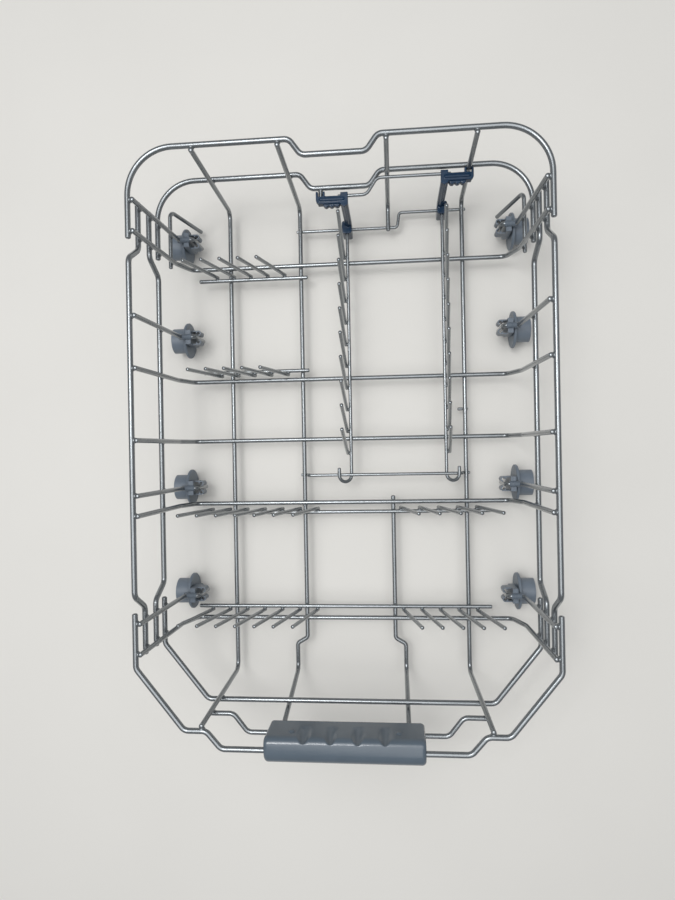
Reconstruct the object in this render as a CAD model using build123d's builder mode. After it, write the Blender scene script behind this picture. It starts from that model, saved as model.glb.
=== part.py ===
"""Lower basket of a slimline dishwasher: coated wire, eight rollers, two fold-down rows.

Millimetres. +X is right, +Y is the rear, +Z is up. The rollers stand on Z = 0 and the plan is
centred on the origin, with the grip at the front. Every wire is one bent bar and one node.
"""

import os
from math import atan2, cos, hypot, radians, tan

from build123d import *

os.makedirs("parts", exist_ok=True)

# Wire stock, by diameter
RIM_WIRE = 5.0
BODY_WIRE = 4.5
ROW_WIRE = 4.0
TINE_WIRE = 3.6
FOLD_WIRE = 3.5
PIVOT_WIRE = 3.2
CLIP_WIRE = 3.0
WELD_GAP = 0.02  # kept between wires that are welded inside one node
RUN_GAP = 0.3  # kept between faces that move past each other

# Rim and lower ring
RIM_WIDTH = 364.0
RIM_LENGTH = 507.0  # rear face to the straight part of the front
RIM_HEIGHT = 148.0
RING_HEIGHT = 85.0
RING_INSET = 2.5
REAR_CORNER_R = 40.0
FRONT_CHAMFER = (42.0, 52.5)  # across, along
NOTCH_HALF_WIDTH = 27.5
NOTCH_DEPTH = 14.0
NOTCH_RUN = 10.0
SMALL_BEND_R = 8.0
LAP_STEP = 20.0  # height that a side wire's end steps away from the wire it laps
LAP_RUN = 13.0
LAP_PAST = 5.0  # how far a lapping end runs past its last weld
WIRE_END_RISE = 1.5  # upright ends stand this far above the rim's middle

# Floor, all stations measured forward from the rear rim wire's middle
FLOOR_HEIGHT = 21.0
SHOULDER_HEIGHT = 52.0
FLOOR_SETBACK = 17.5  # where the floor starts, inside the rim wire's middle
CROSS_STATIONS = (71.0, 189.5, 252.0, 317.5, 437.0)
ROLLER_STATIONS = (44.0, 144.0, 300.0, 410.5)
LONG_1_INSET = 57.5  # from the left rim wire
LONG_2_X = -47.3
LONG_3_X = 44.5
LONG_4_INSET = 60.0  # from the right rim wire
LONG_4_SPLAY = 4.0  # how far its front end leans outward
LONG_JOG = 10.5  # sideways step of the two inner long wires near the front
LONG_JOG_STATION = 459.0
LONG_JOG_RUN = 6.0
LONG_JOG_R = 4.5
LONG_BEND_R = 9.0
SPARE_STUB = (6.5, 2.5)  # to the left and right of the fourth long wire
SPARE_STUB_STATION = 223.5

# Fixed tine rows: station of each base wire, X of each group's first tine, pitch
TINE_TOP = 90.0
TINE_LEAN = 14.0
TINE_TIP = 0.8  # chamfer
SHORT_ROW_TINES = 5
LONG_ROW_LEFT_TINES = 7
LONG_ROW_RIGHT_TINES = 5
ROW_A_STATION = 83.3
ROW_A_X = -135.5
ROW_A_PITCH = 17.9
ROW_B_STATION = 180.0
ROW_B_X = -132.5
ROW_B_PITCH = 17.6
ROW_C_STATION = 327.5
ROW_C_X = -144.9
ROW_C_PITCH = 18.6
ROW_C_RIGHT_X = 52.0
ROW_C_RIGHT_PITCH = 19.2
ROW_D_STATION = 425.2
ROW_D_X = -146.6
ROW_D_PITCH = 18.5
ROW_D_RIGHT_X = 53.2
ROW_D_RIGHT_PITCH = 18.7
SHORT_ROW_OVERHANG = 18.5  # base wire past its outermost tine
LONG_ROW_OVERHANG = 13.5
SHORT_ROW_PAST = 6.5  # short base wires past the second long wire

# Fold-down rows, their pivots and clips
FOLD_LEFT_X = 2.5
FOLD_TINES = 10
FOLD_PITCH = 22.3
FOLD_FIRST = 22.0  # front pivot to first tine
FOLD_LEAN = 18.0
FOLD_RIGHT_TILT = 4.0  # the right row's tines stand tilted to the middle
FOLD_TOP = 99.0
HOOK_WIDTH = 12.0
HOOK_LEG = 6.5
FRONT_PIVOT_STATION = 289.0
PIVOT_BEND_R = 3.5
PIVOT_RISER = 5.0  # riser beside the long wire that carries it
PIVOT_TAIL = 3.5
PIVOT_JOG_RUN = 2.0
BEARING_GAP = 0.06
CLIP_ABOVE_RING = 3.0
CLIP_REACH = 20.5  # fold axis to the wire that the clip's ears grip
CLIP_WIRE_BACK = 7.0  # clip wire behind the rear pivot wire
CLIP_BLOCK = (10.0, 12.5, 20.8)
CLIP_MOUTH = 2.6  # snap opening under the rear pivot wire
CLIP_ARM = (7.0, 4.5)
CLIP_ARM_SHIFT = 1.8  # arm beside the fold axis, away from the ears
CLIP_LEAF = 4.0
CLIP_RIB = 1.2
CLIP_EAR = 2.0
CLIP_EAR_REACH = 4.5
CLIP_WAVES = 3
CLIP_WAVE_R = 2.6
CLIP_WAVE_DROP = 6.0

# Grip
GRIP_LENGTH = 137.0
GRIP_DEPTH = 23.5
GRIP_FRONT = 9.0  # front face ahead of the rim wire's front
GRIP_WALL = 2.5
GRIP_DROP = 47.0
GRIP_REAR_DROP = 36.0
GRIP_ROUND = 11.0
GRIP_RIDGE_R = 2.4
GRIP_END_R = 2.0
GRIP_REACH = 15.0  # how far the front wires jog forward to the grip
GRIP_JOG_RUN = 13.0
FRONT_STRAIGHT = 19.0  # rim front between its chamfer and its jog
GRIP_WIRE_JOG_X = 90.0
GRIP_WIRE_DROP = 33.0
SCALLOPS = 4
SCALLOP_PITCH = 23.0
SCALLOP_R = 5.5
SCALLOP_DEPTH = 3.0
SCALLOP_TALL = 7.0
SCREW_PITCH = 92.0
SCREW_D = 5.0
SCREW_DEPTH = 1.2
SCREW_BELOW_RIM = 10.0

# Rollers and carriers
FLANGE_D = 37.0
FLANGE_WIDTH = 3.0
TREAD_D = 26.0
TREAD_WIDTH = 14.5
TREAD_WALL = 2.6
AXLE_D = 8.0
AXLE_GAP = 0.08
ROLLER_PROUD = 3.0  # outer face past the rim
ROLLER_RIBS = 6
ROLLER_RIB = 1.6
HUB_D = 14.0
HUB_RECESS = 1.5
CARRIER_PLATE = 5.4
FINGER_D = 5.4
FINGER_WALL = 1.1
FINGER_INSET = 2.0  # curl's middle inside the leg wire's
FINGER_TALL = 11.0
FINGER_LIFT = 7.0  # fingers above the axle
ROLLER_WIRE_HEIGHT = 43.0
ROLLER_WIRE_BEND_R = 4.0
LEG_STANDOFF = 2.05  # leg wire clear of the carrier's plate
LEG_END = 13.0

# Guard wires at the rear rollers
GUARD_HEIGHT = 55.0
GUARD_CORNER_STATION = 18.6
GUARD_FOOT = (22.5, 25.0, 10.0)  # inside the rim wire's middle, station, height
GUARD_BEND_R = 6.0

# Places worked out from the sizes above
DEPTH = RIM_LENGTH + GRIP_REACH + GRIP_FRONT
REAR_Y = (DEPTH - RIM_WIRE) / 2
FRONT_Y = REAR_Y - (RIM_LENGTH - RIM_WIRE)
GRIP_Y = FRONT_Y - GRIP_REACH
RIM_X = (RIM_WIDTH - RIM_WIRE) / 2
WALL_TAPER = atan2(RING_INSET, RIM_HEIGHT - RING_HEIGHT)
WALL_STEP = (RIM_WIRE + BODY_WIRE) / 2 / cos(WALL_TAPER)
LONG_1_X = LONG_1_INSET - RIM_X
LONG_4_X = RIM_X - LONG_4_INSET
RIM_JOG_X = RIM_X - FRONT_CHAMFER[0] - FRONT_STRAIGHT - GRIP_JOG_RUN
CROSS_HEIGHT = FLOOR_HEIGHT + BODY_WIRE
ROW_HEIGHT = FLOOR_HEIGHT + (BODY_WIRE + ROW_WIRE) / 2
FOLD_HEIGHT = CROSS_HEIGHT + (BODY_WIRE + FOLD_WIRE) / 2 + RUN_GAP
UNDER_HEIGHT = FLOOR_HEIGHT - (BODY_WIRE + PIVOT_WIRE) / 2
PIVOT_HEIGHT = FOLD_HEIGHT + (FOLD_WIRE + PIVOT_WIRE) / 2 + RUN_GAP
FOLD_RIGHT_X = LONG_4_X - CLIP_REACH
CLIP_HEIGHT = RING_HEIGHT + CLIP_ABOVE_RING
AXLE_HEIGHT = FLANGE_D / 2
ROLLER_OUTER_X = RIM_WIDTH / 2 + ROLLER_PROUD
WIRE_TOP = RIM_HEIGHT + WIRE_END_RISE


def station(distance: float) -> float:
    """Y of a place measured forward from the rear rim wire."""
    return REAR_Y - distance


def inset(height: float) -> float:
    """How far the walls have drawn in from the rim at a height."""
    return (RIM_HEIGHT - height) * tan(WALL_TAPER)


def rail_x(height: float) -> float:
    """X of a side rail, outside the upright wires."""
    return RIM_X - inset(height)


def side_x(height: float) -> float:
    """X of the upright side wires."""
    return rail_x(height) - WALL_STEP


def rear_y(height: float) -> float:
    """Y of the long wires at the rear wall."""
    return REAR_Y - inset(height) - WALL_STEP


def front_y(height: float) -> float:
    """Y of the long wires at the front wall."""
    return FRONT_Y + inset(height) + WALL_STEP


def bent_wire(points: list, diameter: float, bends) -> Part:
    """One bar of wire bent along a path of corner points."""
    with BuildPart() as wire:
        with BuildLine() as path:
            FilletPolyline(*points, radius=bends)
        with BuildSketch(path.line ^ 0):
            Circle(diameter / 2)
        sweep()
    return wire.part


def straight_wire(start: tuple, end: tuple, diameter: float) -> Part:
    """One straight bar of wire."""
    with BuildPart() as wire:
        with BuildLine() as path:
            Line(start, end)
        with BuildSketch(path.line ^ 0):
            Circle(diameter / 2)
        sweep()
    return wire.part


def keep(part: Part, name: str) -> None:
    """Label a sub-part and write its STEP file."""
    part.label = name
    export_step(part, f"parts/{name}.step")


# Rim and ring: a rear U with a notch, two stepped sides and a chamfered front
def rear_hoop(height: float) -> Part:
    """Rear wire of the rim or ring, with its corners and the notch."""
    x, y, drawn = rail_x(height), REAR_Y - inset(height), inset(height)
    end = station(CROSS_STATIONS[0]) - LAP_PAST
    notch = [(NOTCH_HALF_WIDTH + NOTCH_RUN, y), (NOTCH_HALF_WIDTH, y - NOTCH_DEPTH)]
    right = [(x, end), (x, y)] + notch
    points = [(px, py, height) for px, py in right]
    points += [(-px, py, height) for px, py in reversed(right)]
    corner = REAR_CORNER_R - drawn
    small = SMALL_BEND_R
    return bent_wire(points, RIM_WIRE, [corner, small, small, small, small, corner])


def front_hoop(height: float, jog: bool) -> Part:
    """Front wire of the rim or ring, chamfered, with the jog to the grip on the rim."""
    x, y = rail_x(height), FRONT_Y + inset(height)
    start = station(ROLLER_STATIONS[3]) + LAP_PAST + RIM_WIRE / 2
    across, along = FRONT_CHAMFER
    right = [(x, start), (x, y + along), (x - across, y)]
    if jog:
        right += [(RIM_JOG_X + GRIP_JOG_RUN, y), (RIM_JOG_X, y - GRIP_REACH)]
    points = [(px, py, height) for px, py in right]
    points += [(-px, py, height) for px, py in reversed(right)]
    return bent_wire(points, RIM_WIRE, SMALL_BEND_R)


def side_rail(side: int, height: float, step: float) -> Part:
    """Side wire whose two ends step up or down, so that they lap the hoops."""
    lapped = height + step
    rear_end = station(ROLLER_STATIONS[0]) + LAP_PAST
    rear_jog = station(CROSS_STATIONS[0]) - 2 * LAP_PAST
    front_jog = station(ROLLER_STATIONS[3]) + 2 * LAP_PAST
    front_end = station(CROSS_STATIONS[4]) - LAP_PAST
    profile = [
        (rear_end, lapped),
        (rear_jog, lapped),
        (rear_jog - LAP_RUN, height),
        (front_jog + LAP_RUN, height),
        (front_jog, lapped),
        (front_end, lapped),
    ]
    points = [(side * rail_x(z), y, z) for y, z in profile]
    return bent_wire(points, RIM_WIRE, SMALL_BEND_R)


keep(rear_hoop(RIM_HEIGHT), "rim_rear")
keep(front_hoop(RIM_HEIGHT, jog=True), "rim_front")
keep(rear_hoop(RING_HEIGHT), "ring_rear")
keep(front_hoop(RING_HEIGHT, jog=False), "ring_front")
for side, word in ((-1, "left"), (1, "right")):
    keep(side_rail(side, RIM_HEIGHT, -LAP_STEP), f"rim_{word}")
    keep(side_rail(side, RING_HEIGHT, LAP_STEP), f"ring_{word}")


# Cross wires: rim, shoulder, floor, shoulder, rim
def cross_wire(y: float) -> Part:
    """U-shaped wire from rim to rim that makes one line of the floor."""
    right = [
        (side_x(WIRE_TOP), WIRE_TOP),
        (side_x(SHOULDER_HEIGHT), SHOULDER_HEIGHT),
        (RIM_X - FLOOR_SETBACK, CROSS_HEIGHT),
    ]
    points = [(x, y, z) for x, z in right] + [(-x, y, z) for x, z in reversed(right)]
    return bent_wire(points, BODY_WIRE, SMALL_BEND_R)


for number, distance in enumerate(CROSS_STATIONS, start=1):
    keep(cross_wire(station(distance)), f"cross_wire_{number}")


# Long wires: rear rim, floor, front
def long_path(x: float, front_x: float, front_top: tuple) -> list:
    """Corner points of a long wire from the rear rim to a top end at the front."""
    jog = station(LONG_JOG_STATION)
    points = [(x, rear_y(WIRE_TOP), WIRE_TOP), (x, rear_y(FLOOR_HEIGHT), FLOOR_HEIGHT)]
    if front_x != x:
        points += [(x, jog, FLOOR_HEIGHT), (front_x, jog - LONG_JOG_RUN, FLOOR_HEIGHT)]
    return points + [(front_x, front_y(FLOOR_HEIGHT), FLOOR_HEIGHT), front_top]


grip_wire_height = RIM_HEIGHT - GRIP_WIRE_DROP
grip_weld_y = GRIP_Y + BODY_WIRE + WELD_GAP
rim_front_top = (front_y(WIRE_TOP), WIRE_TOP)
grip_top = (grip_weld_y, grip_wire_height + WIRE_END_RISE)

long_1 = long_path(LONG_1_X, LONG_1_X, (LONG_1_X, *rim_front_top))
keep(bent_wire(long_1, BODY_WIRE, LONG_BEND_R), "long_wire_1")
long_4 = long_path(LONG_4_X, LONG_4_X, (LONG_4_X + LONG_4_SPLAY, *rim_front_top))
keep(bent_wire(long_4, BODY_WIRE, LONG_BEND_R), "long_wire_4")
long_2_front = LONG_2_X - LONG_JOG
long_2 = long_path(LONG_2_X, long_2_front, (long_2_front, *grip_top))
long_2_bends = [LONG_BEND_R, LONG_JOG_R, LONG_JOG_R, LONG_BEND_R]
keep(bent_wire(long_2, BODY_WIRE, long_2_bends), "long_wire_2")
long_3_front = LONG_3_X + LONG_JOG
long_3_start = (LONG_3_X, station(CROSS_STATIONS[3]) + LAP_PAST, FLOOR_HEIGHT)
long_3 = [long_3_start] + long_path(LONG_3_X, long_3_front, (long_3_front, *grip_top))[2:]
keep(bent_wire(long_3, BODY_WIRE, long_2_bends[1:]), "long_wire_3_front")

# Grip wire: in front of the outer long wires, jogged forward into the grip
grip_wire_y = front_y(grip_wire_height) - BODY_WIRE / cos(WALL_TAPER)
grip_wire_right = [
    (LONG_4_X + LONG_4_SPLAY + LAP_PAST / 3, grip_wire_y),
    (GRIP_WIRE_JOG_X + GRIP_JOG_RUN, grip_wire_y),
    (GRIP_WIRE_JOG_X, GRIP_Y),
]
grip_wire_points = [(x, y, grip_wire_height) for x, y in grip_wire_right]
grip_wire_points += [(-x, y, grip_wire_height) for x, y in reversed(grip_wire_right)]
keep(bent_wire(grip_wire_points, BODY_WIRE, SMALL_BEND_R), "grip_wire")

# Thin wires that carry the fold-down rows
clip_wire_y = rear_y(CLIP_HEIGHT) - (BODY_WIRE + CLIP_WIRE) / 2 / cos(WALL_TAPER)
clip_wire_left_y = clip_wire_y - NOTCH_DEPTH - inset(CLIP_HEIGHT) / 2
pivot_right_y = clip_wire_y - CLIP_WIRE_BACK
pivot_left_y = clip_wire_left_y - CLIP_WIRE_BACK
notch_edge = NOTCH_HALF_WIDTH - inset(CLIP_HEIGHT)
front_pivot_y = station(FRONT_PIVOT_STATION)

clip_wire_path = [
    (FOLD_LEFT_X - CLIP_ARM[0] / 2, clip_wire_left_y, CLIP_HEIGHT),
    (notch_edge, clip_wire_left_y, CLIP_HEIGHT),
    (notch_edge + NOTCH_RUN, clip_wire_y, CLIP_HEIGHT),
    (FOLD_RIGHT_X + CLIP_ARM[0] / 2, clip_wire_y, CLIP_HEIGHT),
]
keep(bent_wire(clip_wire_path, CLIP_WIRE, SMALL_BEND_R), "clip_wire")

pivot_jog_x = LONG_3_X + LAP_PAST + BODY_WIRE
rear_pivot_path = [
    (LONG_2_X - PIVOT_TAIL, pivot_left_y, UNDER_HEIGHT),
    (pivot_jog_x, pivot_left_y, UNDER_HEIGHT),
    (pivot_jog_x + PIVOT_JOG_RUN, pivot_right_y, UNDER_HEIGHT),
    (LONG_4_X + PIVOT_TAIL, pivot_right_y, UNDER_HEIGHT),
]
keep(bent_wire(rear_pivot_path, PIVOT_WIRE, PIVOT_BEND_R), "rear_pivot_wire")

long_3_rear = [
    (LONG_3_X, rear_y(WIRE_TOP), WIRE_TOP),
    (LONG_3_X, rear_y(FLOOR_HEIGHT), FLOOR_HEIGHT),
    (LONG_3_X, pivot_left_y - PIVOT_TAIL, FLOOR_HEIGHT),
]
keep(bent_wire(long_3_rear, BODY_WIRE, LONG_BEND_R), "long_wire_3_rear")

front_pivot_path = [
    (LONG_2_X - PIVOT_TAIL, front_pivot_y, UNDER_HEIGHT),
    (LONG_2_X + PIVOT_RISER, front_pivot_y, UNDER_HEIGHT),
    (LONG_2_X + PIVOT_RISER, front_pivot_y, PIVOT_HEIGHT),
    (LONG_4_X - PIVOT_RISER, front_pivot_y, PIVOT_HEIGHT),
    (LONG_4_X - PIVOT_RISER, front_pivot_y, UNDER_HEIGHT),
    (LONG_4_X + PIVOT_TAIL, front_pivot_y, UNDER_HEIGHT),
]
keep(bent_wire(front_pivot_path, PIVOT_WIRE, PIVOT_BEND_R), "front_pivot_wire")

# Short wires: the stub that the left clip grips and the spare end across a long wire
clip_stub_x = FOLD_LEFT_X - CLIP_REACH
ring_notch_front = REAR_Y - inset(RING_HEIGHT) - NOTCH_DEPTH - RIM_WIRE / 2
clip_stub_end = (clip_stub_x, clip_wire_left_y + CLIP_WIRE / 2, RING_HEIGHT)
keep(straight_wire((clip_stub_x, ring_notch_front, RING_HEIGHT), clip_stub_end, BODY_WIRE), "clip_stub")

spare_y = station(SPARE_STUB_STATION)
spare_start = (LONG_4_X - SPARE_STUB[0], spare_y, UNDER_HEIGHT)
spare_end = (LONG_4_X + SPARE_STUB[1], spare_y, UNDER_HEIGHT)
keep(straight_wire(spare_start, spare_end, PIVOT_WIRE), "spare_stub")


# Guard wires: along the outside of the first two side wires, then down behind the roller
def guard_wire(side: int) -> Part:
    """Short wire beside a rear roller, ending in a foot near the ground."""
    x = side_x(GUARD_HEIGHT) + (BODY_WIRE + ROW_WIRE) / 2 / cos(WALL_TAPER)
    foot_inset, foot_station, foot_z = GUARD_FOOT
    points = [
        (side * x, station(CROSS_STATIONS[0]) - LAP_PAST, GUARD_HEIGHT),
        (side * x, station(GUARD_CORNER_STATION), GUARD_HEIGHT),
        (side * (RIM_X - foot_inset), station(foot_station), foot_z),
    ]
    return bent_wire(points, ROW_WIRE, GUARD_BEND_R)


# Faces of the rollers and carriers, by distance from the middle plane
hub_inner_x = ROLLER_OUTER_X - TREAD_WIDTH - FLANGE_WIDTH - HUB_RECESS
hub_outer_x = ROLLER_OUTER_X - HUB_RECESS
flange_x = ROLLER_OUTER_X - TREAD_WIDTH
web_x = flange_x + HUB_RECESS
plate_x = hub_inner_x - RUN_GAP - CARRIER_PLATE
leg_x = plate_x - LEG_STANDOFF - BODY_WIRE / 2


# Roller wires: down the side, in over the roller, and down again to carry it
def roller_wire(side: int, y: float) -> Part:
    """Side wire that carries one roller on its inner leg."""
    corners = [
        (side_x(WIRE_TOP), WIRE_TOP),
        (side_x(ROLLER_WIRE_HEIGHT), ROLLER_WIRE_HEIGHT),
        (leg_x, ROLLER_WIRE_HEIGHT),
        (leg_x, LEG_END),
    ]
    return bent_wire([(side * x, y, z) for x, z in corners], BODY_WIRE, ROLLER_WIRE_BEND_R)


# Rollers and carriers, drawn on a plane with its X pointing outward and its Y up from the axle
def axle_plane(side: int, y: float) -> Plane:
    """Plane through a roller's axle, seen from the front for the right side."""
    return Plane(origin=(0, y, AXLE_HEIGHT), x_dir=(side, 0, 0), z_dir=(0, -side, 0))


def roller(side: int, y: float) -> Part:
    """Flanged roller: hub, web, tread and flange in one turned profile, with ribs outside."""
    bore, hub = AXLE_D / 2 + AXLE_GAP, HUB_D / 2
    tread, rim = TREAD_D / 2, TREAD_D / 2 - TREAD_WALL
    web = Plane(origin=(side * web_x, y, AXLE_HEIGHT), x_dir=(0, side, 0), z_dir=(side, 0, 0))
    with BuildPart() as wheel:
        with BuildSketch(axle_plane(side, y)):
            with BuildLine():
                Polyline(
                    (hub_inner_x, bore),
                    (hub_inner_x, hub),
                    (flange_x - FLANGE_WIDTH, hub),
                    (flange_x - FLANGE_WIDTH, FLANGE_D / 2),
                    (flange_x, FLANGE_D / 2),
                    (flange_x, tread),
                    (ROLLER_OUTER_X, tread),
                    (ROLLER_OUTER_X, rim),
                    (web_x, rim),
                    (web_x, hub),
                    (hub_outer_x, hub),
                    (hub_outer_x, bore),
                    close=True,
                )
            make_face()
        revolve(axis=Axis((0, y, AXLE_HEIGHT), (1, 0, 0)))
        rims = wheel.edges().filter_by(GeomType.CIRCLE)
        chamfer(rims.filter_by(lambda edge: edge.radius > tread + HUB_RECESS), FLANGE_WIDTH / 5)
        with BuildSketch(web):
            with PolarLocations((rim + hub) / 2, ROLLER_RIBS):
                Rectangle(rim - hub + ROLLER_RIB / 2, ROLLER_RIB)
        extrude(amount=hub_outer_x - HUB_RECESS - web_x)
    return wheel.part


def roller_carrier(side: int, y: float) -> Part:
    """Plastic carrier: saddle plate under the wire, stub axle outward, two curled fingers inward."""
    top = ROLLER_WIRE_HEIGHT - AXLE_HEIGHT
    finger_x = leg_x - FINGER_INSET
    reach = (BODY_WIRE + FINGER_D) / 2 + WELD_GAP
    finger_y = (reach**2 - FINGER_INSET**2) ** 0.5
    root_y = finger_y + (FINGER_D - FINGER_WALL) / 2
    saddle = Plane(origin=(side * plate_x, y, AXLE_HEIGHT), x_dir=(0, side, 0), z_dir=(side, 0, 0))
    with BuildPart() as carrier:
        with BuildSketch(saddle):
            Circle(HUB_D / 2)
            with Locations((0, top / 2)):
                Rectangle(2 * finger_y + FINGER_D, top)
            with Locations((0, top)):
                Circle(BODY_WIRE / 2, mode=Mode.SUBTRACT)
        extrude(amount=CARRIER_PLATE)
        with BuildSketch(axle_plane(side, y)):
            with BuildLine():
                lip = hub_outer_x + RUN_GAP
                Polyline(
                    (plate_x, 0),
                    (plate_x, AXLE_D / 2),
                    (lip, AXLE_D / 2),
                    (lip, AXLE_D / 2 + HUB_RECESS / 2),
                    (ROLLER_OUTER_X, AXLE_D / 2 - HUB_RECESS / 2),
                    (ROLLER_OUTER_X, 0),
                    close=True,
                )
            make_face()
        revolve(axis=Axis((0, y, AXLE_HEIGHT), (1, 0, 0)))
        with BuildSketch(Plane.XY.offset(AXLE_HEIGHT + FINGER_LIFT)):
            for way in (-1, 1):
                with Locations((side * (finger_x + plate_x) / 2, y + way * root_y)):
                    Rectangle(plate_x - finger_x, FINGER_WALL)
                with Locations((side * finger_x, y + way * finger_y)):
                    Circle(FINGER_D / 2)
                    Circle(FINGER_D / 2 - FINGER_WALL, mode=Mode.SUBTRACT)
                with Locations((side * (finger_x + FINGER_D / 4), y + way * (finger_y - FINGER_D / 4))):
                    Rectangle(FINGER_D / 2, FINGER_D / 2, mode=Mode.SUBTRACT)
        extrude(amount=FINGER_TALL)
    return carrier.part


for side, word in ((-1, "left"), (1, "right")):
    keep(guard_wire(side), f"guard_wire_{word}")
    for number, distance in enumerate(ROLLER_STATIONS, start=1):
        keep(roller_wire(side, station(distance)), f"roller_wire_{word}_{number}")
        keep(roller(side, station(distance)), f"roller_{word}_{number}")
        keep(roller_carrier(side, station(distance)), f"roller_carrier_{word}_{number}")


# Fixed rows: a base wire on the long wires with tines welded to one side of it
def tine(foot: tuple, lean_x: float, lean_y: float, top: float, diameter: float) -> Part:
    """Straight tine from its foot to a height, leaning by two angles, with a chamfered tip."""
    rise = top - foot[2]
    tip = (foot[0] + rise * tan(radians(lean_x)), foot[1] + rise * tan(radians(lean_y)), top)
    with BuildPart() as pin:
        with BuildLine() as path:
            Line(foot, tip)
        with BuildSketch(path.line ^ 0):
            Circle(diameter / 2)
        sweep()
        chamfer(pin.edges().filter_by(GeomType.CIRCLE).sort_by(Axis.Z)[-1], TINE_TIP)
    return pin.part


def fixed_row(y: float, side: int, ends: tuple, *groups: tuple) -> Part:
    """Base wire and its outward-leaning tines, which stand before or behind it."""
    tine_y = y + side * ((ROW_WIRE + TINE_WIRE) / 2 + WELD_GAP)
    foot_z = ROW_HEIGHT - ROW_WIRE / 4
    with BuildPart() as whole:
        add(straight_wire((ends[0], y, ROW_HEIGHT), (ends[1], y, ROW_HEIGHT), ROW_WIRE))
        for first, pitch, count, lean in groups:
            for index in range(count):
                add(tine((first + index * pitch, tine_y, foot_z), lean, 0, TINE_TOP, TINE_WIRE))
    return whole.part


short_end = LONG_2_X + SHORT_ROW_PAST
row_a = (ROW_A_X, ROW_A_PITCH, SHORT_ROW_TINES, -TINE_LEAN)
row_a_ends = (ROW_A_X - SHORT_ROW_OVERHANG, short_end)
keep(fixed_row(station(ROW_A_STATION), 1, row_a_ends, row_a), "tine_row_a")
row_b = (ROW_B_X, ROW_B_PITCH, SHORT_ROW_TINES, -TINE_LEAN)
row_b_ends = (ROW_B_X - SHORT_ROW_OVERHANG, short_end)
keep(fixed_row(station(ROW_B_STATION), -1, row_b_ends, row_b), "tine_row_b")


def long_row(y: float, side: int, left: tuple, right: tuple) -> Part:
    """Row with a group of tines on each side of the middle aisle."""
    right_x, right_pitch = right
    last_x = right_x + (LONG_ROW_RIGHT_TINES - 1) * right_pitch
    ends = (left[0] - LONG_ROW_OVERHANG, last_x + LONG_ROW_OVERHANG)
    left_group = (*left, LONG_ROW_LEFT_TINES, -TINE_LEAN)
    right_group = (*right, LONG_ROW_RIGHT_TINES, TINE_LEAN)
    return fixed_row(y, side, ends, left_group, right_group)


row_c = long_row(station(ROW_C_STATION), 1, (ROW_C_X, ROW_C_PITCH), (ROW_C_RIGHT_X, ROW_C_RIGHT_PITCH))
keep(row_c, "tine_row_c")
row_d = long_row(station(ROW_D_STATION), -1, (ROW_D_X, ROW_D_PITCH), (ROW_D_RIGHT_X, ROW_D_RIGHT_PITCH))
keep(row_d, "tine_row_d")


# Fold-down rows: base wire, tines, and the hook that turns back over the front pivot wire
def fold_row(side: int, axis_x: float, pivot_y: float, tilt: float) -> Part:
    """One hinged row; side is the way its hook and tines stand off the base wire."""
    rear_end = pivot_y - PIVOT_WIRE / 2 - RUN_GAP
    leg_rise = FOLD_WIRE + PIVOT_WIRE + 2 * RUN_GAP
    turn_r = hypot(HOOK_WIDTH, leg_rise) / 2
    across = Vector(side * HOOK_WIDTH, 0, leg_rise).normalized()
    start = Vector(axis_x, front_pivot_y, FOLD_HEIGHT)
    bottom = start + across * turn_r + Vector(0, -turn_r, 0)
    leg = start + across * 2 * turn_r
    weld_x = (FOLD_WIRE + WELD_GAP) / cos(radians(tilt)) + FOLD_WIRE / 4 * tan(radians(tilt))
    with BuildPart() as whole:
        with BuildLine() as path:
            Line((axis_x, rear_end, FOLD_HEIGHT), start)
            ThreePointArc(start, bottom, leg)
            Line(leg, leg + Vector(0, HOOK_LEG, 0))
        with BuildSketch(path.line ^ 0):
            Circle(FOLD_WIRE / 2)
        sweep()
        for index in range(FOLD_TINES):
            foot_y = front_pivot_y + FOLD_FIRST + index * FOLD_PITCH
            foot = (axis_x + side * weld_x, foot_y, FOLD_HEIGHT - FOLD_WIRE / 4)
            add(tine(foot, -side * tilt, FOLD_LEAN, FOLD_TOP, FOLD_WIRE))
    return whole.part


keep(fold_row(-1, FOLD_LEFT_X, pivot_left_y, 0), "fold_row_left")
keep(fold_row(1, FOLD_RIGHT_X, pivot_right_y, FOLD_RIGHT_TILT), "fold_row_right")


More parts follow.
